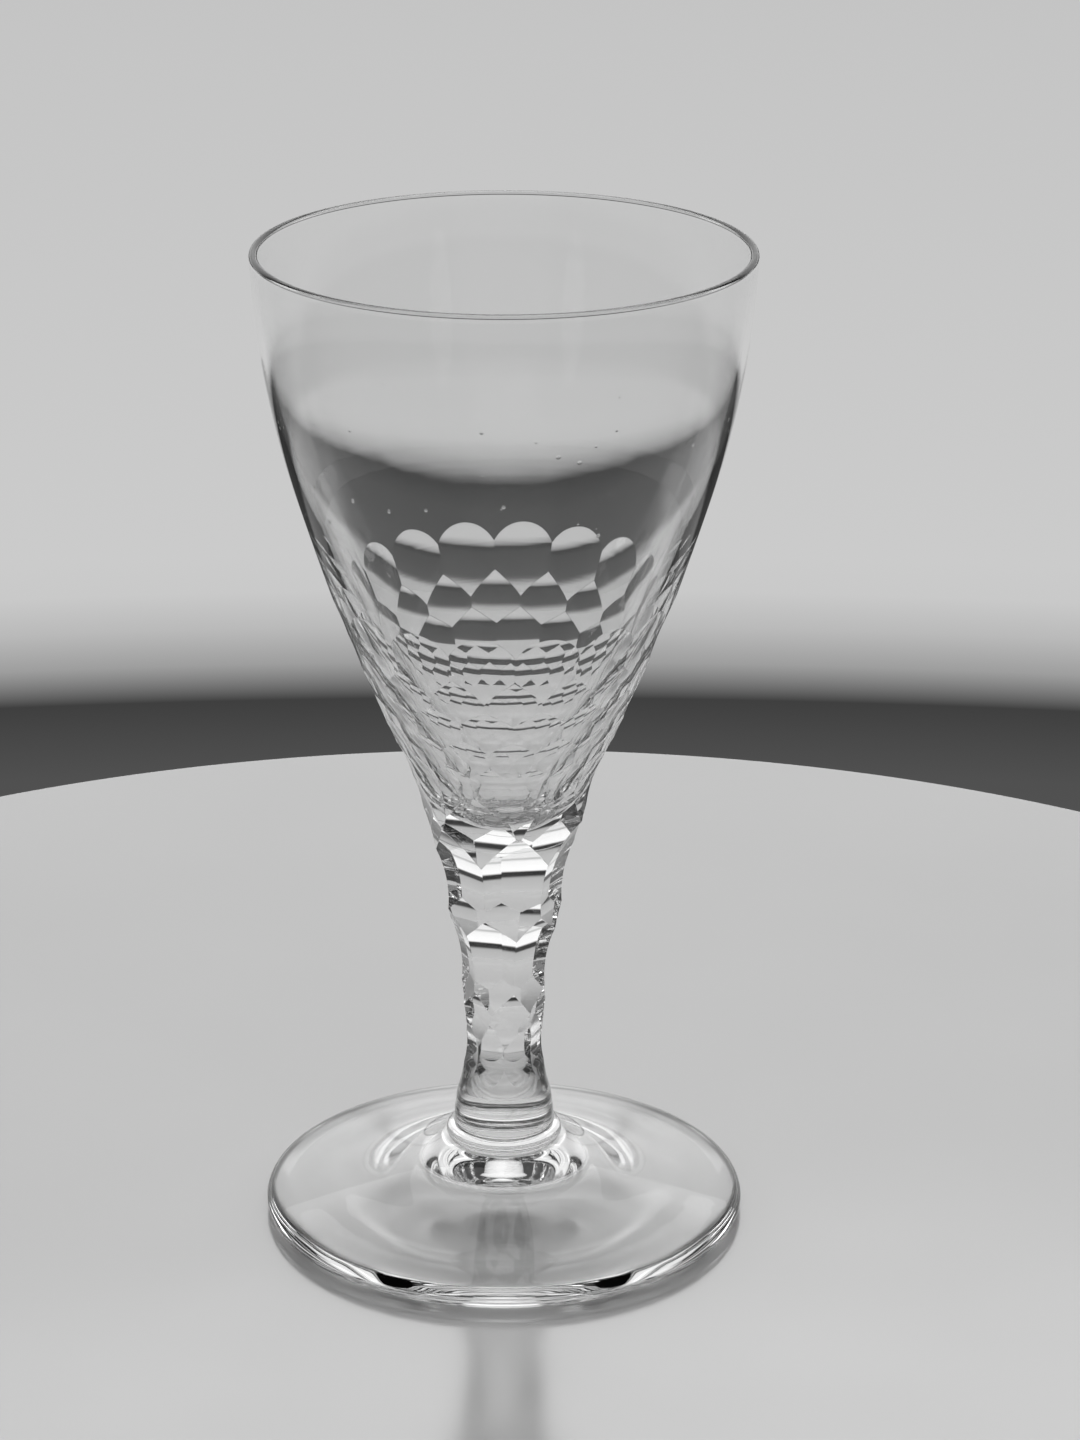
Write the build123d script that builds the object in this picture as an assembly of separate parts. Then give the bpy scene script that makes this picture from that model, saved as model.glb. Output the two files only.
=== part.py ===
from build123d import *
from math import cos, radians, sin
import os

# Cut-glass wine glass: a blown bowl, a faceted stem, a collar and a blown foot.
# Millimetres, +Z up. The origin is on the axis, in the plane that the foot stands on.

# ---------------------------------------------------------------- driving dimensions
# Bowl
RIM_HEIGHT = 137.1          # top of the fire-polished rim
RIM_RADIUS = 33.1           # outside of the rim
RIM_WALL = 1.15             # thickness of the rim bead
CAVITY_FLOOR = 59.0         # lowest point inside the bowl

# Hot joints between the four gathers
BOWL_SEAM_RADIUS = 20.0     # the bowl's blown bottom is a ball cap sitting in the stem
BOWL_SEAM_BOTTOM = 54.0     # lowest point of that cap
COLLAR_TOP = 12.6           # the stem stands on the collar here
COLLAR_BOTTOM = 10.4        # and the collar on the foot here
COLLAR_RADIUS = 8.0

# Foot
FOOT_EDGE = (31.9, 3.25)    # the rounded edge runs from here down to the rest ring
REST_RING_INNER = 30.2      # flat ground ring that the glass stands on
REST_RING_OUTER = 31.55
UNDERSIDE_CROWN = 5.6       # height of the hollow under the foot, at its middle

# Outside of the blank before cutting, from the collar to the rim: (radius, height)
STEM_FOOT = (6.95, COLLAR_TOP)
STEM_SWELL = (6.8, 15.0)
STEM_FLARE = (6.4, 17.6)
STEM_THROAT = (5.6, 21.2)
STEM_WAIST = (5.4, 25.0)
STEM_MIDDLE = (6.9, 39.0)
SHOULDER = (10.6, 54.5)
BOWL_BASE = (15.1, 68.0)
BOWL_TURN = (19.35, 80.0)
BOWL_LOWER = (23.45, 91.8)
BOWL_BELLY = (27.4, 104.0)  # one smooth arc runs from here up to the rim

# Inside of the bowl
CAVITY_BALL = (8.6, 64.3)   # the rounded floor ends here
CAVITY_BELLY = (25.85, 104.0)

# Rows of wheel-cut facets, from the top of the cutting down to the collar. Each facet is
# hollow along its height and flat across, and sits between two facets of the row above:
# (facets in the row, angle of one facet, height, floor radius, lean, wheel radius)
FACET_ROWS = [
    (16, 352.5, 86.7, 21.15, 21.0, 38.0),
    (16, 3.75, 81.4, 19.20, 21.5, 20.0),
    (16, 352.5, 76.3, 17.15, 22.0, 20.0),
    (16, 3.75, 71.4, 15.05, 22.5, 20.0),
    (16, 352.5, 66.8, 12.95, 23.0, 20.0),
    (7, 344.3, 61.3, 10.80, 19.0, 22.0),
    (7, 10.0, 50.6, 7.45, 11.5, 20.0),
    (7, 347.3, 37.6, 5.35, 6.5, 20.0),
    (7, 10.0, 28.5, 4.90, 1.0, 16.0),
    (9, 21.5, 25.0, 4.80, 0.0, 13.0),
]
STEM_ROW_LIMIT = 12         # rows with fewer facets than this are on the stem
CROWDING = 7.3              # degrees that the stem's hand-spaced facets drift towards the back
CROWDING_START = 11.5       # the angle where they are furthest apart
WHEEL_WIDTH = 30.0          # wider than any facet
FRONT = -90.0               # facet angles are counted from the front, which is -Y
OUTWARD = (1, 0, 0)         # direction of a section's line where it leaves the axis

# Top and underside of the foot, from the middle outwards: (radius, height)
FOOT_TOP_OUTLINE = [
    (9.6, 9.5), (12.0, 8.0), (16.0, 6.5), (22.0, 5.05), (28.0, 3.95), FOOT_EDGE,
]
FOOT_HOLLOW_OUTLINE = [(8.0, 5.1), (14.0, 3.6), (18.0, 2.0), (21.5, 1.1), (26.0, 0.55)]
HOLLOW_EDGE_DIRECTION = (1, 0, -0.1)


# ---------------------------------------------------------------- helpers
def at(radius, height):
    """A point of a section, on the +X side of the XZ plane."""
    return Vector(radius, 0, height)


def turned(*edges):
    """The solid that a closed half section makes when it turns about the glass's axis."""
    section = make_face(Wire(edges))
    return revolve(section, axis=Axis.Z, revolution_arc=360)


def wheel_cut(angle, height, floor_radius, lean, wheel_radius):
    """The space one pass of the cutting wheel takes out of the glass."""
    outward, down = cos(radians(lean)), sin(radians(lean))
    wheel = Cylinder(wheel_radius, WHEEL_WIDTH, rotation=(90, 0, 0))
    hub = Pos(floor_radius + wheel_radius * outward, 0, height - wheel_radius * down)
    return Rot(0, 0, FRONT + angle) * hub * wheel


# ---------------------------------------------------------------- blank, cut and hollowed
def make_blank():
    """Bowl and stem as one turned outside shape, without the cavity."""
    rim_shoulder = at(RIM_RADIUS, RIM_HEIGHT - RIM_WALL / 2)
    rim_inside = at(RIM_RADIUS - RIM_WALL, RIM_HEIGHT - RIM_WALL / 2)
    lower_bowl = ThreePointArc(at(*BOWL_TURN), at(*BOWL_LOWER), at(*BOWL_BELLY))
    return turned(
        Line(at(0, COLLAR_TOP), at(*STEM_FOOT)),
        ThreePointArc(at(*STEM_FOOT), at(*STEM_SWELL), at(*STEM_FLARE)),
        ThreePointArc(at(*STEM_FLARE), at(*STEM_THROAT), at(*STEM_WAIST)),
        ThreePointArc(at(*STEM_WAIST), at(*STEM_MIDDLE), at(*SHOULDER)),
        ThreePointArc(at(*SHOULDER), at(*BOWL_BASE), at(*BOWL_TURN)),
        lower_bowl,
        TangentArc(at(*BOWL_BELLY), rim_shoulder, tangent=lower_bowl % 1),
        ThreePointArc(rim_shoulder, at(RIM_RADIUS - RIM_WALL / 2, RIM_HEIGHT), rim_inside),
        Line(rim_inside, at(0, rim_inside.Z)),
        Line(at(0, rim_inside.Z), at(0, COLLAR_TOP)),
    )


def make_cavity():
    """The space for the wine, up to the rim."""
    rim_inside = at(RIM_RADIUS - RIM_WALL, RIM_HEIGHT - RIM_WALL / 2)
    ball = TangentArc(at(0, CAVITY_FLOOR), at(*CAVITY_BALL), tangent=OUTWARD)
    wall = TangentArc(at(*CAVITY_BALL), at(*CAVITY_BELLY), tangent=ball % 1)
    mouth = TangentArc(at(*CAVITY_BELLY), rim_inside, tangent=wall % 1)
    return turned(
        ball, wall, mouth,
        Line(rim_inside, at(0, rim_inside.Z)),
        Line(at(0, rim_inside.Z), at(0, CAVITY_FLOOR)),
    )


def facet_angle(first_angle, index, count):
    """The bowl's facets are evenly spaced, and the stem's are wider at the front than at the back."""
    angle = first_angle + index * 360 / count
    if count < STEM_ROW_LIMIT:
        angle += CROWDING * sin(radians(angle - CROWDING_START))
    return angle


def cut_facets(glass):
    """Grind every row of facets into the fused bowl and stem."""
    for count, first_angle, height, floor_radius, lean, wheel_radius in FACET_ROWS:
        for index in range(count):
            angle = facet_angle(first_angle, index, count)
            glass -= wheel_cut(angle, height, floor_radius, lean, wheel_radius)
    return glass


def bowl_side():
    """Everything above the hot joint between bowl and stem."""
    centre = BOWL_SEAM_BOTTOM + BOWL_SEAM_RADIUS
    above = Pos(0, 0, centre) * Cylinder(
        2 * RIM_RADIUS, RIM_HEIGHT, align=(Align.CENTER, Align.CENTER, Align.MIN)
    )
    return Pos(0, 0, centre) * Sphere(BOWL_SEAM_RADIUS) + above


# ---------------------------------------------------------------- collar and foot
def make_collar():
    """A flattened ring of glass between stem and foot."""
    middle = (COLLAR_TOP + COLLAR_BOTTOM) / 2
    stem_seat = STEM_FOOT[0]
    return turned(
        Line(at(0, COLLAR_BOTTOM), at(stem_seat, COLLAR_BOTTOM)),
        ThreePointArc(at(stem_seat, COLLAR_BOTTOM), at(COLLAR_RADIUS, middle), at(stem_seat, COLLAR_TOP)),
        Line(at(stem_seat, COLLAR_TOP), at(0, COLLAR_TOP)),
        Line(at(0, COLLAR_TOP), at(0, COLLAR_BOTTOM)),
    )


def make_foot():
    """A shallow dome with a thick round edge, hollow underneath, on a flat ground ring."""
    collar_seat = at(8.4, COLLAR_BOTTOM)
    ring_outer = at(REST_RING_OUTER, 0)
    ring_inner = at(REST_RING_INNER, 0)
    crown = at(0, UNDERSIDE_CROWN)
    return turned(
        Line(at(0, COLLAR_BOTTOM), collar_seat),
        Spline(collar_seat, *[at(*point) for point in FOOT_TOP_OUTLINE]),
        TangentArc(ring_outer, at(*FOOT_EDGE), tangent=OUTWARD),
        Line(ring_outer, ring_inner),
        Spline(
            crown, *[at(*point) for point in FOOT_HOLLOW_OUTLINE], ring_inner,
            tangents=[OUTWARD, HOLLOW_EDGE_DIRECTION],
        ),
        Line(crown, at(0, COLLAR_BOTTOM)),
    )


# ---------------------------------------------------------------- parts
cut_glass = cut_facets(make_blank())
upper = bowl_side()
parts = {
    "bowl": (cut_glass & upper) - make_cavity(),
    "stem": cut_glass - upper,
    "foot_collar": make_collar(),
    "foot": make_foot(),
}

os.makedirs("parts", exist_ok=True)
for name, shape in parts.items():
    shape.label = name
    export_step(shape, f"parts/{name}.step")
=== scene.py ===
from math import atan2, ceil, cos, hypot, pi, radians, sin

import bmesh
import bpy
import numpy as np
from mathutils import Matrix, Vector


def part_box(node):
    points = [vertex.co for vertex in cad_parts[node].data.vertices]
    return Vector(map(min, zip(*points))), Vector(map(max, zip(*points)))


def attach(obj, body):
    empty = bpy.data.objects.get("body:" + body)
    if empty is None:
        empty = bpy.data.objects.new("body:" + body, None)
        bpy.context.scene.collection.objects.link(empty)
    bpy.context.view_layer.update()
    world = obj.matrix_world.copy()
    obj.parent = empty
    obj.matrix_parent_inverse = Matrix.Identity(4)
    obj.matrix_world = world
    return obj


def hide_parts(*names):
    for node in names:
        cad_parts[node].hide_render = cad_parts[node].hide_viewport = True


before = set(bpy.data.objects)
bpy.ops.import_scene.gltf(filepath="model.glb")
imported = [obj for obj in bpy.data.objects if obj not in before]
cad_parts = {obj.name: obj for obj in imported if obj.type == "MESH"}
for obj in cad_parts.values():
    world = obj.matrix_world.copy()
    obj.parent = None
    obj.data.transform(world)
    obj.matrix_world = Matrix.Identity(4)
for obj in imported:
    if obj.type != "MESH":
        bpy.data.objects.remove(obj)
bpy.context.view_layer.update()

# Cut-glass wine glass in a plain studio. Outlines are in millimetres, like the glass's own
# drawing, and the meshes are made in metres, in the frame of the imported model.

MM = 0.001


def top_of(node):
    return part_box(node)[1].z / MM


def bottom_of(node):
    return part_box(node)[0].z / MM


# ---------------------------------------------------------------- dimensions, in millimetres
RIM_HEIGHT = top_of("bowl")
RIM_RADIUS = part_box("bowl")[1].x / MM
RIM_WALL = 1.15             # thickness of the rim bead
CAVITY_FLOOR = 59.0         # lowest point inside the bowl
BOWL_SEAM_RADIUS = 20.0     # the bowl's blown bottom is a ball cap sitting in the stem
BOWL_SEAM_BOTTOM = bottom_of("bowl")
COLLAR_TOP = top_of("foot_collar")
COLLAR_BOTTOM = bottom_of("foot_collar")
COLLAR_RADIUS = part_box("foot_collar")[1].x / MM

# Outside of the blank before cutting, from the collar to the rim: (radius, height)
STEM_FOOT = (6.95, COLLAR_TOP)
STEM_SWELL = (6.8, 15.0)
STEM_FLARE = (6.4, 17.6)
STEM_THROAT = (5.6, 21.2)
STEM_WAIST = (5.4, 25.0)
STEM_MIDDLE = (6.9, 39.0)
SHOULDER = (10.6, 54.5)
BOWL_BASE = (15.1, 68.0)
BOWL_TURN = (19.35, 80.0)
BOWL_LOWER = (23.45, 91.8)
BOWL_BELLY = (27.4, 104.0)  # one smooth arc runs from here up to the rim
CAVITY_BALL = (8.6, 64.3)   # the cavity's rounded floor ends here
CAVITY_BELLY = (25.85, 104.0)

# Rows of wheel-cut facets, from the top of the cutting down to the collar:
# (facets in the row, angle of one facet, height, floor radius, lean, wheel radius)
FACET_ROWS = [
    (16, 352.5, 86.7, 21.15, 21.0, 38.0),
    (16, 3.75, 81.4, 19.20, 21.5, 20.0),
    (16, 352.5, 76.3, 17.15, 22.0, 20.0),
    (16, 3.75, 71.4, 15.05, 22.5, 20.0),
    (16, 352.5, 66.8, 12.95, 23.0, 20.0),
    (7, 344.3, 61.3, 10.80, 19.0, 22.0),
    (7, 10.0, 50.6, 7.45, 11.5, 20.0),
    (7, 347.3, 37.6, 5.35, 6.5, 20.0),
    (7, 10.0, 28.5, 4.90, 1.0, 16.0),
    (9, 21.5, 25.0, 4.80, 0.0, 13.0),
]
STEM_ROW_LIMIT = 12         # rows with fewer facets than this are on the stem
CROWDING = 7.3              # degrees that the stem's hand-spaced facets drift towards the back
CROWDING_START = 11.5       # the angle where they are furthest apart
WHEEL_WIDTH = 30.0          # wider than any facet
WHEEL_SEGMENTS = 512
FRONT = radians(-90.0)      # facet angles are counted from the front, which is -Y

COLLAR_SEAT = (8.4, COLLAR_BOTTOM)
FOOT_EDGE = (31.9, 3.25)
REST_RING_INNER = 30.2      # flat ground ring that the glass stands on
REST_RING_OUTER = 31.55
UNDERSIDE_CROWN = 5.6
UNDERSIDE_EDGE_DIRECTION = (1, -0.1)    # of the hollow's line where it meets the rest ring
FOOT_TOP_OUTLINE = [
    COLLAR_SEAT, (9.6, 9.5), (12.0, 8.0), (16.0, 6.5), (22.0, 5.05), (28.0, 3.95), FOOT_EDGE,
]
FOOT_HOLLOW_OUTLINE = [
    (0.0, UNDERSIDE_CROWN), (8.0, 5.1), (14.0, 3.6), (18.0, 2.0), (21.5, 1.1), (26.0, 0.55),
    (REST_RING_INNER, 0.0),
]
SEED_PLACE = (10.4, 63.0, 8.2)      # a bubble in the foot: radius, angle from the front, height
SEED_RADIUS = 0.22
SEED_SUBDIVISIONS = 4

GLASS_IOR = 1.54
CLEAR_TINT = (0.990, 0.990, 0.990, 1)
DEEP_TINT = (0.975, 0.978, 0.977, 1)
TINT_WAVES = (35, 35, 35)   # waves in a metre along each axis, as in the other WAVES
TINT_RANGE = (0.35, 0.65)   # the noise's values where the tint is clear and where it is deep
FILM_WAVES = (70, 70, 45)
FILM_DETAIL = 4.0
FILM_RANGE = (0.55, 0.75)   # the noise's values where the film starts and where it is full
FILM_ROUGHNESS = 0.06       # where a faint film is left from drying
BEVEL_RADIUS = 0.12         # polishing rounds the edges of the facets by this much
BEVEL_SAMPLES = 4
POLISH_WAVES = (1900, 1900, 45)
POLISH_DETAIL = 3.0
POLISH_DEPTH = 0.0006
RING_WAVES = (420, 420, 260)
RING_DEPTH = 0.0030
BLOWN_WAVES = (75, 75, 50)
BLOWN_DEPTH = 0.030

DROPS_PER_METRE = 420
DROP_ROUGHNESS = 0.25
DROP_DEPTH = 0.012
DROP_EDGE = (0.13, 0.07)    # from a cell's middle: where a drop's edge starts and is full
DROP_CHOICE = (0.80, 0.81)  # the fifth of the cells whose chance is above this hold a drop
DROPS_BOTTOM = (0.100, 0.106)   # metres: the drops fade in over this height
DROPS_TOP = (0.125, 0.119)      # and fade out over this one

SLAB_SHEEN = 0.30
SLAB_NOISE_RANGE = (0.1, 0.9)
SLAB_TONE_WAVES = (14, 14, 14)
SLAB_TONE = (0.79, 0.85)
SLAB_GLOSS_WAVES = (22, 22, 22)
SLAB_ROUGHNESS = (0.15, 0.20)

# The Mix node has sockets of the same name for every data type. These are the colour ones.
MIX_FIRST_COLOUR = 6
MIX_SECOND_COLOUR = 7
MIX_COLOUR_RESULT = 2

TURN_SEGMENTS = 288         # steps round the axis in every turned surface
STEP = 0.6                  # steps along an outline
BEAD_STEP = 0.045           # steps round the rim's bead
COLLAR_STEP = 0.08          # round the collar's edge
FOOT_EDGE_STEP = 0.1        # round the foot's edge
SLAB_LIP_STEP = 0.2         # and round the slab's lip
TINY = 1e-6                 # shorter lengths than this count as nothing
SMOOTH_LIMIT = radians(4.0)     # sharper edges than this stay crisp where the wheel has cut
OUTWARD = (1.0, 0.0)


# ---------------------------------------------------------------- outlines
def circle_through(a, m, b):
    """Centre of the circle through three points of a section."""
    (ax, ay), (mx, my), (bx, by) = a, m, b
    d = 2 * (ax * (my - by) + mx * (by - ay) + bx * (ay - my))
    a2, m2, b2 = ax * ax + ay * ay, mx * mx + my * my, bx * bx + by * by
    return (
        (a2 * (my - by) + m2 * (by - ay) + b2 * (ay - my)) / d,
        (a2 * (bx - mx) + m2 * (ax - bx) + b2 * (mx - ax)) / d,
    )


def arc_about(centre, a, b, step=STEP):
    """Points of the shorter arc about a centre, from a to b."""
    radius = hypot(a[0] - centre[0], a[1] - centre[1])
    start = atan2(a[1] - centre[1], a[0] - centre[0])
    sweep = (atan2(b[1] - centre[1], b[0] - centre[0]) - start + pi) % (2 * pi) - pi
    count = max(2, ceil(abs(sweep) * radius / step))
    angles = [start + sweep * i / count for i in range(count + 1)]
    return [(centre[0] + radius * cos(t), centre[1] + radius * sin(t)) for t in angles]


def arc(a, m, b, step=STEP):
    """Points of the arc from a through m to b."""
    return arc_about(circle_through(a, m, b), a, b, step)


def tangent_arc(a, b, direction, step=STEP):
    """Arc from a to b that leaves a in the given direction."""
    dx, dy = direction
    cx, cy = b[0] - a[0], b[1] - a[1]
    side = (cx * cx + cy * cy) / (2 * (cy * dx - cx * dy))
    return arc_about((a[0] - dy * side, a[1] + dx * side), a, b, step)


def end_direction(points):
    """Direction of the arc through the last points, where it ends."""
    centre = circle_through(points[-3], points[-2], points[-1])
    dx, dy = points[-1][0] - centre[0], points[-1][1] - centre[1]
    tx, ty = -dy, dx
    if tx * (points[-1][0] - points[-2][0]) + ty * (points[-1][1] - points[-2][1]) < 0:
        tx, ty = -tx, -ty
    return tx / hypot(tx, ty), ty / hypot(tx, ty)


def smooth_curve(points, start=None, end=None, step=STEP):
    """Cubic spline through the points, with an optional direction at each end."""
    p = np.array(points, float)
    t = np.concatenate([[0], np.cumsum(np.hypot(*np.diff(p, axis=0).T))])
    n, h = len(p), np.diff(t)
    a, rhs = np.zeros((n, n)), np.zeros((n, 2))
    for i in range(1, n - 1):
        a[i, i - 1:i + 2] = 1 / h[i - 1], 2 / h[i - 1] + 2 / h[i], 1 / h[i]
        rhs[i] = 3 * ((p[i] - p[i - 1]) / h[i - 1] ** 2 + (p[i + 1] - p[i]) / h[i] ** 2)
    for i, j, given in ((0, 1, start), (n - 1, n - 2, end)):
        if given is None:
            a[i, i], a[i, j] = 2, 1
            rhs[i] = 3 * (p[max(i, j)] - p[min(i, j)]) / (t[max(i, j)] - t[min(i, j)])
        else:
            a[i, i] = 1
            rhs[i] = np.array(given) / np.hypot(*given)
    slope = np.linalg.solve(a, rhs)
    out = []
    for i in range(n - 1):
        count = ceil(h[i] / step)
        for k in range(count + (i == n - 2)):
            s = k / count
            out.append(tuple(
                (2 * s**3 - 3 * s**2 + 1) * p[i] + (s**3 - 2 * s**2 + s) * h[i] * slope[i]
                + (3 * s**2 - 2 * s**3) * p[i + 1] + (s**3 - s**2) * h[i] * slope[i + 1]
            ))
    return out


def joined(*runs):
    """One outline from several, without the points that they share."""
    outline = list(runs[0])
    for run in runs[1:]:
        outline += run[1:]
    return outline


# ---------------------------------------------------------------- meshes
def new_piece(name, bm, materials):
    """A new object in the scene, with the mesh that bm holds."""
    mesh = bpy.data.meshes.new(name)
    bm.to_mesh(mesh)
    bm.free()
    for material in materials:
        mesh.materials.append(material)
    piece = bpy.data.objects.new(name, mesh)
    bpy.context.scene.collection.objects.link(piece)
    return piece


def turned(name, outline, material, seams=()):
    """Turns an outline about the axis. Its level runs given in seams get the joint's material."""
    bm = bmesh.new()
    rings = []
    for radius, height in outline:
        if radius < TINY:
            rings.append([bm.verts.new((0, 0, height * MM))])
            continue
        angles = [2 * pi * k / TURN_SEGMENTS for k in range(TURN_SEGMENTS)]
        rings.append([
            bm.verts.new((radius * MM * cos(t), radius * MM * sin(t), height * MM)) for t in angles
        ])
    for i in range(len(rings) - 1):
        lower, upper = rings[i], rings[i + 1]
        middle = ((outline[i][0] + outline[i + 1][0]) / 2, (outline[i][1] + outline[i + 1][1]) / 2)
        is_seam = any(
            abs(middle[1] - height) < TINY and middle[0] < radius for radius, height in seams
        )
        for k in range(TURN_SEGMENTS):
            j = (k + 1) % TURN_SEGMENTS
            below = [lower[k % len(lower)], lower[j % len(lower)]]
            above = [upper[j % len(upper)], upper[k % len(upper)]]
            face = bm.faces.new(list(dict.fromkeys(below + above)))
            face.material_index = int(is_seam)
            face.smooth = True
    bmesh.ops.recalc_face_normals(bm, faces=bm.faces)
    return new_piece(name, bm, [material, seam_glass] if seams else [material])


def combine(piece, operation, cutters):
    """Applies one boolean with all the cutters to a piece, and removes them."""
    tools = bpy.data.collections.new(operation)
    for cutter in cutters:
        tools.objects.link(cutter)
    modifier = piece.modifiers.new(operation, "BOOLEAN")
    modifier.operation = operation
    modifier.solver = "MANIFOLD"
    modifier.material_mode = "TRANSFER"
    modifier.operand_type = "COLLECTION"
    modifier.collection = tools
    graph = bpy.context.evaluated_depsgraph_get()
    whole = piece.data
    result = bpy.data.meshes.new_from_object(piece.evaluated_get(graph))
    piece.modifiers.clear()
    piece.data = result
    result.name = piece.name
    bpy.data.meshes.remove(whole)
    for cutter in cutters:
        bpy.data.meshes.remove(cutter.data)
    bpy.data.collections.remove(tools)
    return piece


def wheel(angle, height, floor_radius, lean, wheel_radius):
    """A cutting wheel pressed against the glass. Angles are in degrees, and start at the front."""
    bm = bmesh.new()
    bmesh.ops.create_cone(
        bm, cap_ends=True, cap_tris=False, segments=WHEEL_SEGMENTS, radius1=wheel_radius * MM,
        radius2=wheel_radius * MM, depth=WHEEL_WIDTH * MM,
    )
    outward, down = cos(radians(lean)), sin(radians(lean))
    hub = Vector((floor_radius + wheel_radius * outward, 0, height - wheel_radius * down)) * MM
    turn = Matrix.Rotation(FRONT + radians(angle), 4, "Z")
    bm.transform(turn @ Matrix.Translation(hub) @ Matrix.Rotation(pi / 2, 4, "X"))
    return new_piece("wheel", bm, [cut_glass])


def keep_cut_edges_crisp(piece):
    """Smooth shading, but for the edges round each facet and each joint."""
    bm = bmesh.new()
    bm.from_mesh(piece.data)
    blown = {i for i, m in enumerate(piece.data.materials) if m == blown_glass}
    for edge in bm.edges:
        if len(edge.link_faces) == 2:
            touches_cut = any(f.material_index not in blown for f in edge.link_faces)
            edge.smooth = not (touches_cut and edge.calc_face_angle(0) > SMOOTH_LIMIT)
    for face in bm.faces:
        face.smooth = True
    bm.to_mesh(piece.data)
    bm.free()


# ---------------------------------------------------------------- materials
def shader_nodes(material):
    """A function that adds a node to a material and joins its inputs to sockets or sets them."""
    tree = material.node_tree

    def add(kind, *inputs, **settings):
        node = tree.nodes.new(kind)
        for setting, value in settings.items():
            setattr(node, setting, value)
        for socket, value in inputs:
            if isinstance(value, bpy.types.NodeSocket):
                tree.links.new(value, node.inputs[socket])
            else:
                node.inputs[socket].default_value = value
        return node

    return add


def noise(add, place, scale, detail=2.0):
    """Soft noise from 0 to 1, with so many waves in a metre along each axis."""
    stretched = add("ShaderNodeMapping", ("Vector", place), ("Scale", scale))
    texture = add(
        "ShaderNodeTexNoise", ("Vector", stretched.outputs["Vector"]), ("Scale", 1.0),
        ("Detail", detail),
    )
    return texture.outputs["Fac"]


def ramp_between(add, value, low, high, to_low=0.0, to_high=1.0):
    """Runs level from to_low to to_high while the value goes from low to high."""
    node = add(
        "ShaderNodeMapRange", ("Value", value), ("From Min", low), ("From Max", high),
        ("To Min", to_low), ("To Max", to_high),
    )
    return node.outputs["Result"]


def product(add, first, second):
    return add("ShaderNodeMath", (0, first), (1, second), operation="MULTIPLY").outputs[0]


def dried_drops(add, place):
    """A few tiny dried drops in a band of the upper bowl: 1 on a drop, 0 elsewhere."""
    cells = add(
        "ShaderNodeTexVoronoi", ("Vector", place), ("Scale", DROPS_PER_METRE), ("Randomness", 1.0)
    )
    split = add("ShaderNodeSeparateXYZ", ("Vector", place))
    chance = add("ShaderNodeSeparateColor", ("Color", cells.outputs["Color"]))
    is_near = ramp_between(add, cells.outputs["Distance"], *DROP_EDGE)
    is_chosen = ramp_between(add, chance.outputs["Red"], *DROP_CHOICE)
    above = ramp_between(add, split.outputs["Z"], *DROPS_BOTTOM)
    below = ramp_between(add, split.outputs["Z"], *DROPS_TOP)
    return product(add, product(add, is_near, is_chosen), product(add, above, below))


def glass(name, cut_by_wheel):
    """Clear lead glass. Blown faces are a little wavy and ringed, cut ones have polishing marks."""
    material = bpy.data.materials.new(name)
    material.use_nodes = True
    add = shader_nodes(material)
    links = material.node_tree.links
    shader = material.node_tree.nodes["Principled BSDF"]
    shader.inputs["Transmission Weight"].default_value = 1.0
    shader.inputs["IOR"].default_value = GLASS_IOR
    place = add("ShaderNodeTexCoord").outputs["Object"]

    tint = ramp_between(add, noise(add, place, TINT_WAVES), *TINT_RANGE)
    colour = add(
        "ShaderNodeMix", ("Factor", tint), (MIX_FIRST_COLOUR, CLEAR_TINT),
        (MIX_SECOND_COLOUR, DEEP_TINT), data_type="RGBA",
    )
    links.new(colour.outputs[MIX_COLOUR_RESULT], shader.inputs["Base Color"])

    film_noise = noise(add, place, FILM_WAVES, FILM_DETAIL)
    film = ramp_between(add, film_noise, *FILM_RANGE, 0.0, FILM_ROUGHNESS)
    if cut_by_wheel:
        marks = noise(add, place, POLISH_WAVES, POLISH_DETAIL)
        rounded = add("ShaderNodeBevel", ("Radius", BEVEL_RADIUS * MM), samples=BEVEL_SAMPLES)
        surface = add(
            "ShaderNodeBump", ("Height", marks), ("Distance", POLISH_DEPTH * MM),
            ("Normal", rounded.outputs["Normal"]),
        )
        roughness = film
    else:
        flat = add("ShaderNodeVectorMath", (0, place), (1, (1, 1, 0)), operation="MULTIPLY")
        radius = add("ShaderNodeVectorMath", (0, flat.outputs[0]), operation="LENGTH")
        height = add("ShaderNodeSeparateXYZ", ("Vector", place))
        ring = add(
            "ShaderNodeCombineXYZ", ("X", radius.outputs["Value"]), ("Z", height.outputs["Z"])
        )
        rings = add(
            "ShaderNodeBump", ("Height", noise(add, ring.outputs["Vector"], RING_WAVES)),
            ("Distance", RING_DEPTH * MM),
        )
        waves = add(
            "ShaderNodeBump", ("Height", noise(add, place, BLOWN_WAVES)),
            ("Distance", BLOWN_DEPTH * MM), ("Normal", rings.outputs["Normal"]),
        )
        drops = dried_drops(add, place)
        surface = add(
            "ShaderNodeBump", ("Height", drops), ("Distance", DROP_DEPTH * MM),
            ("Normal", waves.outputs["Normal"]),
        )
        roughness = add(
            "ShaderNodeMath", (0, drops), (1, DROP_ROUGHNESS), (2, film), operation="MULTIPLY_ADD"
        ).outputs[0]
    links.new(roughness, shader.inputs["Roughness"])
    links.new(surface.outputs["Normal"], shader.inputs["Normal"])
    return material


def clear_joint(name):
    """Inside a hot joint glass meets the same glass, so light passes straight through."""
    material = bpy.data.materials.new(name)
    material.use_nodes = True
    tree = material.node_tree
    tree.nodes.remove(tree.nodes["Principled BSDF"])
    clear = tree.nodes.new("ShaderNodeBsdfTransparent")
    tree.links.new(clear.outputs["BSDF"], tree.nodes["Material Output"].inputs["Surface"])
    return material


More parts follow.
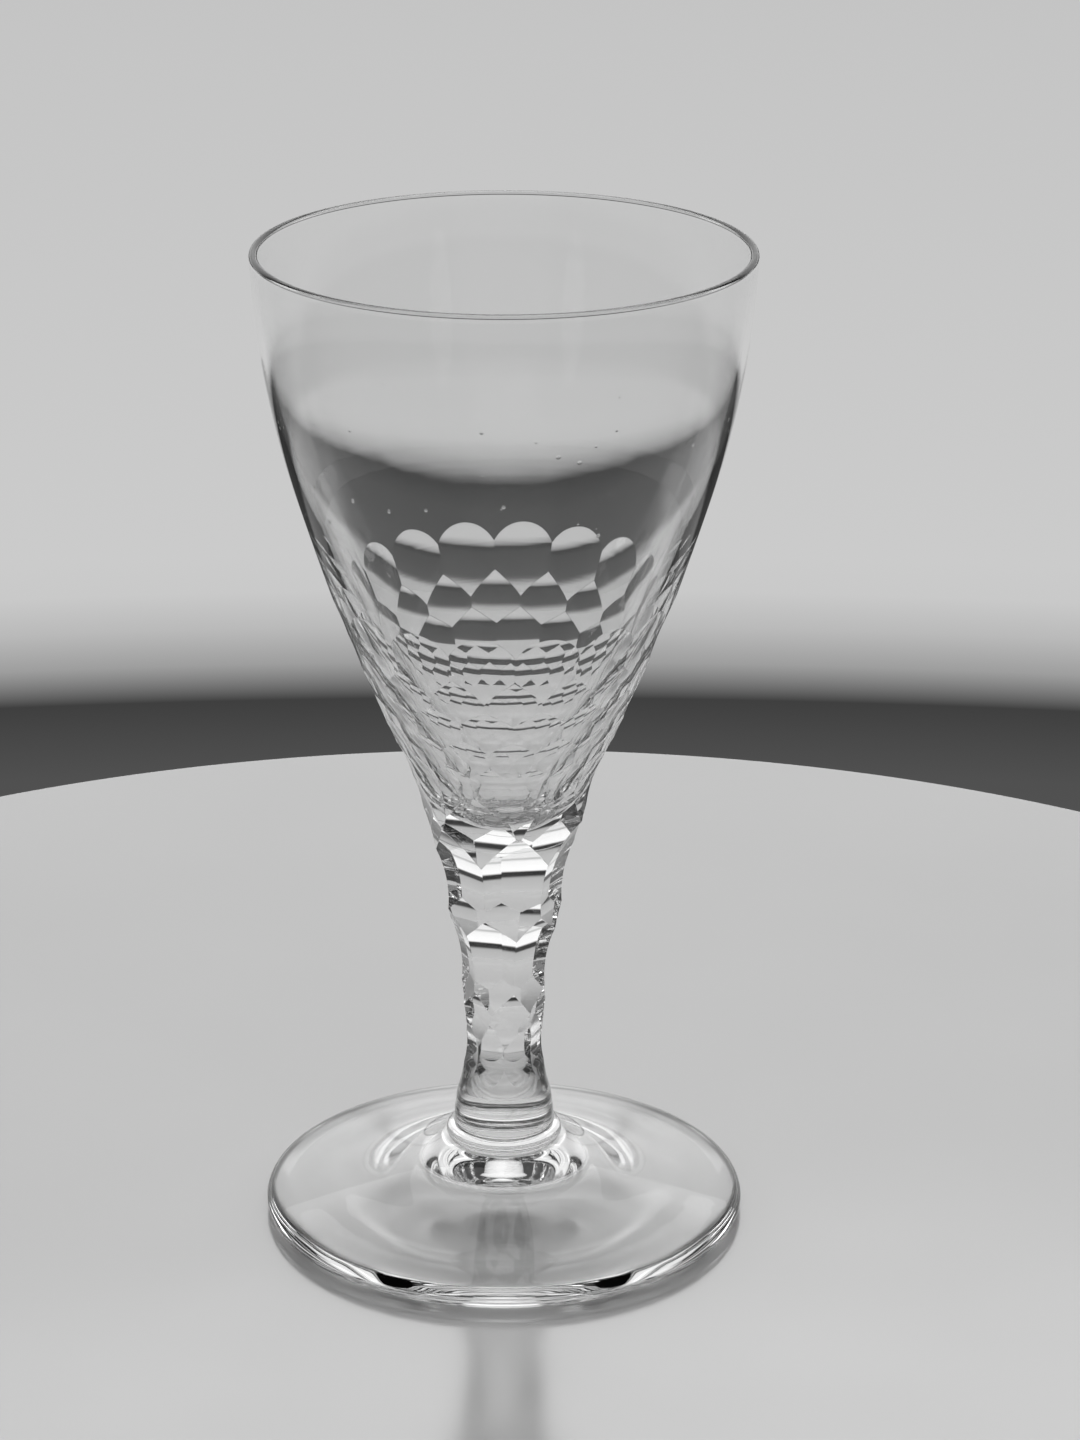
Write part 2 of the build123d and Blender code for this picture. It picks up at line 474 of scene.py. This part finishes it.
def pale_slab(name):
    """The studio's floor: pale, a little uneven in tone, and with a sheen that mirrors softly."""
    material = bpy.data.materials.new(name)
    material.use_nodes = True
    add = shader_nodes(material)
    links = material.node_tree.links
    shader = material.node_tree.nodes["Principled BSDF"]
    place = add("ShaderNodeTexCoord").outputs["Object"]
    shader.inputs["Metallic"].default_value = SLAB_SHEEN
    tone_noise = noise(add, place, SLAB_TONE_WAVES)
    tone = ramp_between(add, tone_noise, *SLAB_NOISE_RANGE, *SLAB_TONE)
    gloss_noise = noise(add, place, SLAB_GLOSS_WAVES)
    gloss = ramp_between(add, gloss_noise, *SLAB_NOISE_RANGE, *SLAB_ROUGHNESS)
    grey = add("ShaderNodeCombineColor", ("Red", tone), ("Green", tone), ("Blue", tone))
    links.new(grey.outputs["Color"], shader.inputs["Base Color"])
    links.new(gloss, shader.inputs["Roughness"])
    return material


blown_glass = glass("blown_glass", cut_by_wheel=False)
cut_glass = glass("cut_glass", cut_by_wheel=True)
seam_glass = clear_joint("joint_in_glass")
floor_finish = pale_slab("pale_floor")

# ---------------------------------------------------------------- bowl and stem
rim_shoulder = (RIM_RADIUS, RIM_HEIGHT - RIM_WALL / 2)
rim_inside = (RIM_RADIUS - RIM_WALL, RIM_HEIGHT - RIM_WALL / 2)
rim_top = (RIM_RADIUS - RIM_WALL / 2, RIM_HEIGHT)
bead_centre = (RIM_RADIUS - RIM_WALL / 2, RIM_HEIGHT - RIM_WALL / 2)
lower_bowl = arc(BOWL_TURN, BOWL_LOWER, BOWL_BELLY)
blank_outline = joined(
    [(0, COLLAR_TOP), STEM_FOOT],
    arc(STEM_FOOT, STEM_SWELL, STEM_FLARE),
    arc(STEM_FLARE, STEM_THROAT, STEM_WAIST),
    arc(STEM_WAIST, STEM_MIDDLE, SHOULDER),
    arc(SHOULDER, BOWL_BASE, BOWL_TURN),
    lower_bowl,
    tangent_arc(BOWL_BELLY, rim_shoulder, end_direction(lower_bowl)),
    arc_about(bead_centre, rim_shoulder, rim_top, BEAD_STEP),
    arc_about(bead_centre, rim_top, rim_inside, BEAD_STEP),
    [rim_inside, (0, rim_inside[1])],
)
ball = tangent_arc((0, CAVITY_FLOOR), CAVITY_BALL, OUTWARD)
wall = tangent_arc(CAVITY_BALL, CAVITY_BELLY, end_direction(ball))
mouth = tangent_arc(CAVITY_BELLY, rim_inside, end_direction(wall))
cavity_outline = joined(ball, wall, mouth, [rim_inside, (0, rim_inside[1])])


def facet_angle(first, index, count):
    """The bowl's facets are evenly spaced, and the stem's are wider at the front than at the back."""
    angle = first + index * 360 / count
    if count < STEM_ROW_LIMIT:
        angle += CROWDING * sin(radians(angle - CROWDING_START))
    return angle


def wheels():
    """A wheel for every facet of the bowl and the stem."""
    return [
        wheel(facet_angle(first, k, count), *rest)
        for count, first, *rest in FACET_ROWS for k in range(count)
    ]


def seam_ball():
    """The space on the bowl's side of its joint with the stem."""
    centre = BOWL_SEAM_BOTTOM + BOWL_SEAM_RADIUS
    side = (BOWL_SEAM_RADIUS, centre)
    wide = 2 * RIM_RADIUS
    cap = arc_about((0, centre), (0, BOWL_SEAM_BOTTOM), side)
    above = [side, (wide, centre), (wide, 2 * RIM_HEIGHT), (0, 2 * RIM_HEIGHT)]
    return turned("seam_ball", joined(cap, above), seam_glass)


bowl = combine(turned("bowl_glass", blank_outline, blown_glass), "DIFFERENCE", wheels())
stem = bowl.copy()
stem.data = bowl.data.copy()
stem.name = "stem_glass"
bpy.context.scene.collection.objects.link(stem)
combine(bowl, "INTERSECT", [seam_ball()])
combine(bowl, "DIFFERENCE", [turned("cavity", cavity_outline, blown_glass)])
combine(stem, "DIFFERENCE", [seam_ball()])
for piece in (bowl, stem):
    keep_cut_edges_crisp(piece)

# ---------------------------------------------------------------- collar and foot
def seed_bubble():
    """A bubble that stayed in the foot when it was blown."""
    radius, angle, height = SEED_PLACE
    bm = bmesh.new()
    bmesh.ops.create_icosphere(bm, subdivisions=SEED_SUBDIVISIONS, radius=SEED_RADIUS * MM)
    turn = Matrix.Rotation(FRONT + radians(angle), 4, "Z")
    bm.transform(turn @ Matrix.Translation(Vector((radius, 0, height)) * MM))
    return new_piece("seed_bubble", bm, [blown_glass])


collar_middle = (COLLAR_RADIUS, (COLLAR_TOP + COLLAR_BOTTOM) / 2)
seat = STEM_FOOT[0]
collar = turned("collar_glass", joined(
    [(0, COLLAR_BOTTOM), (seat, COLLAR_BOTTOM)],
    arc((seat, COLLAR_BOTTOM), collar_middle, (seat, COLLAR_TOP), COLLAR_STEP),
    [(seat, COLLAR_TOP), (0, COLLAR_TOP)],
), blown_glass, seams=[(seat, COLLAR_BOTTOM), (seat, COLLAR_TOP)])
ring_outer, ring_inner = (REST_RING_OUTER, 0.0), (REST_RING_INNER, 0.0)
foot = turned("foot_glass", joined(
    [(0, COLLAR_BOTTOM), (seat, COLLAR_BOTTOM), COLLAR_SEAT],
    smooth_curve(FOOT_TOP_OUTLINE),
    tangent_arc(ring_outer, FOOT_EDGE, OUTWARD, FOOT_EDGE_STEP)[::-1],
    [ring_outer, ring_inner],
    smooth_curve(FOOT_HOLLOW_OUTLINE, start=OUTWARD, end=UNDERSIDE_EDGE_DIRECTION)[::-1],
), blown_glass, seams=[(seat, COLLAR_BOTTOM)])

combine(foot, "DIFFERENCE", [seed_bubble()])
for piece in (collar, foot):
    keep_cut_edges_crisp(piece)

for piece, node in ((bowl, "bowl"), (stem, "stem"), (collar, "foot_collar"), (foot, "foot")):
    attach(piece, "root")
    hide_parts(node)

# ---------------------------------------------------------------- studio
# The glass stands on a pale round slab. Facets show only by what they bend into view, so the
# room has quiet level bands of tone: pale far below the slab, a dark line just above its rim,
# a pale backdrop, and a dark upper room with one wide window in it, behind the glass.
SLAB_RADIUS = 180.0
SLAB_THICKNESS = 6.0
SLAB_ROUND = 2.0            # radius of the slab's rounded lip
SLAB_GAP = 0.01             # keeps the slab's top and the rest ring from sharing one plane
ROOM_TONES = [              # (elevation in degrees, brightness)
    (-90, 0.50), (-26, 0.50), (-24.8, 0.10), (-21.0, 0.08), (-20.1, 0.05), (-19.5, 0.42),
    (-18.6, 0.60), (-11.5, 0.56), (-6.2, 0.50), (-4.8, 0.03), (90, 0.03),
]
WINDOW_TONES = [            # a low sash, a thin bar and a tall sash
    (-90, 0.0), (-2.0, 0.0), (-0.8, 1.1), (8, 1.0), (10, 0.5), (12, 0.9), (31, 0.9), (36, 0.0),
    (90, 0.0),
]
WINDOW_EDGE = 0.60          # the window fades in from here to its full strength, as a share of
WINDOW_FULL = 0.82          # the way from the side of the room to straight behind the glass
OVERHEAD_AIM = (0, 120, 0)
SIDE_AIM = (0, 0, 70)       # half way up the glass


def slab_outline():
    """The half section of the slab, with a rounded upper edge."""
    top, bottom = -SLAB_GAP, -SLAB_GAP - SLAB_THICKNESS
    centre = (SLAB_RADIUS - SLAB_ROUND, top - SLAB_ROUND)
    lip = arc_about(centre, (SLAB_RADIUS, centre[1]), (centre[0], top), SLAB_LIP_STEP)
    return [(0, bottom), (SLAB_RADIUS, bottom), *lip, (0, top)]


floor = turned("floor", slab_outline(), floor_finish)


def round_softbox(name, azimuth, elevation, distance, diameter, power, aim, spread):
    """A round area light. Its azimuth is counted from the front, and its aim is in millimetres."""
    lamp = bpy.data.lights.new(name, "AREA")
    lamp.shape = "DISK"
    lamp.size = diameter
    lamp.energy = power
    lamp.spread = radians(spread)
    light = bpy.data.objects.new(name, lamp)
    turn, rise = radians(azimuth), radians(elevation)
    away = Vector((sin(turn) * cos(rise), -cos(turn) * cos(rise), sin(rise)))
    light.location = Vector(aim) * MM + away * distance
    light.rotation_euler = away.to_track_quat("Z", "Y").to_euler()
    bpy.context.scene.collection.objects.link(light)


round_softbox(
    "overhead", azimuth=175, elevation=66, distance=1.6, diameter=2.4, power=6.5,
    aim=OVERHEAD_AIM, spread=120,
)
for side, azimuth in (("left_side", -118), ("right_side", 112)):
    round_softbox(
        side, azimuth, elevation=22, distance=1.0, diameter=0.35, power=0.3, aim=SIDE_AIM,
        spread=120,
    )


def tone_ramp(tree, height, tones):
    """Brightness by elevation. The ramp runs over the sine of the elevation, from -1 to 1."""
    ramp = tree.nodes.new("ShaderNodeValToRGB")
    elements = ramp.color_ramp.elements
    elements.remove(elements[-1])
    for index, (elevation, tone) in enumerate(tones):
        position = (sin(radians(elevation)) + 1) / 2
        element = elements[0] if index == 0 else elements.new(position)
        element.position = position
        element.color = (tone, tone, tone, 1)
    tree.links.new(height, ramp.inputs["Fac"])
    return ramp.outputs["Color"]


def make_room():
    """The world: the room's bands everywhere, and the window's on top of them behind the glass."""
    world = bpy.data.worlds.new("studio")
    world.use_nodes = True
    bpy.context.scene.world = world
    add = shader_nodes(world)
    direction = add("ShaderNodeTexCoord").outputs["Generated"]
    split = add("ShaderNodeSeparateXYZ", ("Vector", direction))
    height = ramp_between(add, split.outputs["Z"], -1.0, 1.0)
    room = tone_ramp(world.node_tree, height, ROOM_TONES)
    window = tone_ramp(world.node_tree, height, WINDOW_TONES)
    behind = add(
        "ShaderNodeMapRange", ("Value", split.outputs["Y"]), ("From Min", WINDOW_EDGE),
        ("From Max", WINDOW_FULL), interpolation_type="SMOOTHSTEP",
    )
    both = add(
        "ShaderNodeMath", (0, window), (1, behind.outputs["Result"]), (2, room),
        operation="MULTIPLY_ADD",
    )
    world.node_tree.links.new(both.outputs[0], world.node_tree.nodes["Background"].inputs["Color"])


make_room()

# ---------------------------------------------------------------- camera
CAMERA_DISTANCE = 0.584
CAMERA_ELEVATION = radians(20.4)
CAMERA_AIM = Vector((0, 0, 0.072))
CAMERA_LENS = 108.3
CAMERA_SHIFT = 0.025        # puts the glass a little left of the picture's middle
SENSOR_HEIGHT = 36.0
SENSOR_WIDTH = 27.0
NEAR_LIMIT = 0.01

camera_data = bpy.data.cameras.new("camera")
camera_data.sensor_fit = "VERTICAL"
camera_data.sensor_height = SENSOR_HEIGHT
camera_data.sensor_width = SENSOR_WIDTH
camera_data.lens = CAMERA_LENS
camera_data.shift_x = CAMERA_SHIFT
camera_data.clip_start = NEAR_LIMIT
camera = bpy.data.objects.new("camera", camera_data)
camera_away = Vector((0, -cos(CAMERA_ELEVATION), sin(CAMERA_ELEVATION)))
camera.location = CAMERA_AIM + camera_away * CAMERA_DISTANCE
camera.rotation_euler = (pi / 2 - CAMERA_ELEVATION, 0, 0)
bpy.context.scene.collection.objects.link(camera)
bpy.context.scene.camera = camera

GLASS_BOUNCES = 32          # light crosses many walls and facets on its way through the glass
MIRROR_BOUNCES = 12
cycles = bpy.context.scene.cycles
cycles.max_bounces = GLASS_BOUNCES
cycles.transmission_bounces = GLASS_BOUNCES
cycles.transparent_max_bounces = GLASS_BOUNCES
cycles.glossy_bounces = MIRROR_BOUNCES
bpy.context.scene.view_settings.view_transform = "Standard"
